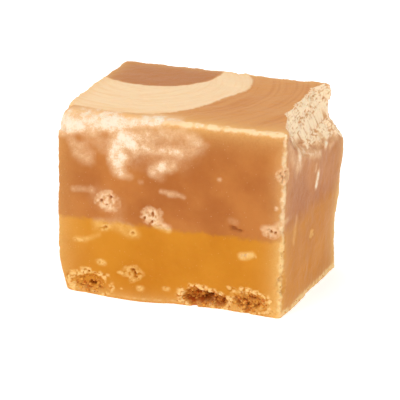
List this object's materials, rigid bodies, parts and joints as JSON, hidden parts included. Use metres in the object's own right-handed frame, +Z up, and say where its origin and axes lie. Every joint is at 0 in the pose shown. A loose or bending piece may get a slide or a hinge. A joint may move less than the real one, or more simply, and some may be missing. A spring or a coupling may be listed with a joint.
{
  "type": "two-layer caramel fudge piece",
  "caption": "Hand-cut block of fudge: a caramel layer with a cream swirl on a golden base layer, with a broken upper edge, crumbly foot and small air holes.",
  "frame": {"origin": "on the resting surface, under the middle of the piece's bounding box", "axes": "+X to the right along the long front face, +Y from the front face to the back, +Z up through the layers"},
  "size_m": [0.0325, 0.0247, 0.0253],
  "materials": {
    "golden_fudge": "satin, slightly translucent, with paler dry edges",
    "caramel_fudge": "satin, slightly translucent, with pale sugar bloom and a cream swirl on top"
  },
  "bodies": {
    "root": {"base_layer": "golden_fudge", "caramel_layer": "caramel_fudge"}
  },
  "joints": []
}
